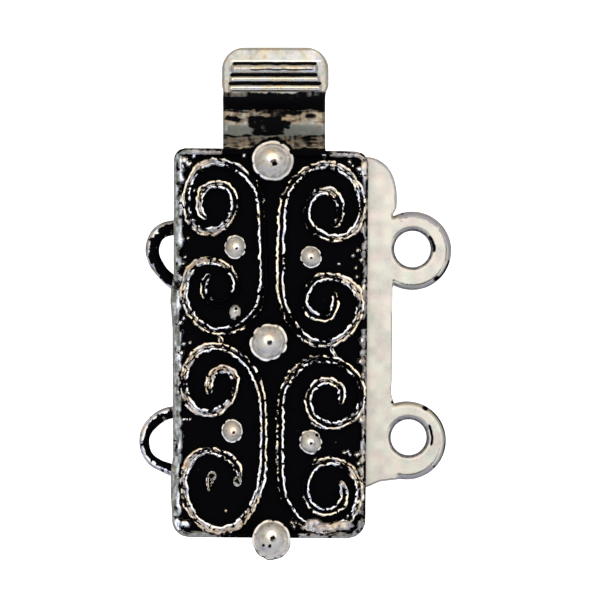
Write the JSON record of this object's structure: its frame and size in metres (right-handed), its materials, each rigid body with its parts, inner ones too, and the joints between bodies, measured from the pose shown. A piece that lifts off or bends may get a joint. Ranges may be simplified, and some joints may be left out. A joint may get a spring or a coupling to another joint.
{
  "type": "multi-strand clasp",
  "caption": "Slide-in box clasp for two strands: a cast scroll face on a flat sleeve, with a ring plate that slides out when its sprung thumb tongue is pressed.",
  "frame": {"origin": "centre of the flat back, under the middle of the cast face", "axes": "+Z out of the face, +Y to the thumb pad and along the release slide, +X to the ring plate's two rings"},
  "size_m": [0.0146, 0.024, 0.0048],
  "materials": {
    "antiqued_silver": "cast relief, worn bright on a blackened ground",
    "aged_silver": "dull plated sheet, darkened under the face",
    "bright_silver": "smooth bright plating with rounded edges",
    "spring_silver": "polished spring strip"
  },
  "bodies": {
    "box": {"face_plate": "antiqued_silver", "sleeve": "aged_silver"},
    "insert": {"ring_plate": "bright_silver"},
    "tongue": {"tongue": "spring_silver"}
  },
  "joints": [
    {"name": "release_slide", "type": "slide", "parent": "box", "child": "insert", "axis": [0, 1, 0], "range_m": [0, 0.019]},
    {"name": "tongue_press", "type": "hinge", "parent": "insert", "child": "tongue", "pos_m": [0.00027, -0.0079, 0.00155], "axis": [-1, 0, 0], "range_deg": [-1.5, 1.4], "stiffness_Nm_per_rad": 0.3}
  ]
}
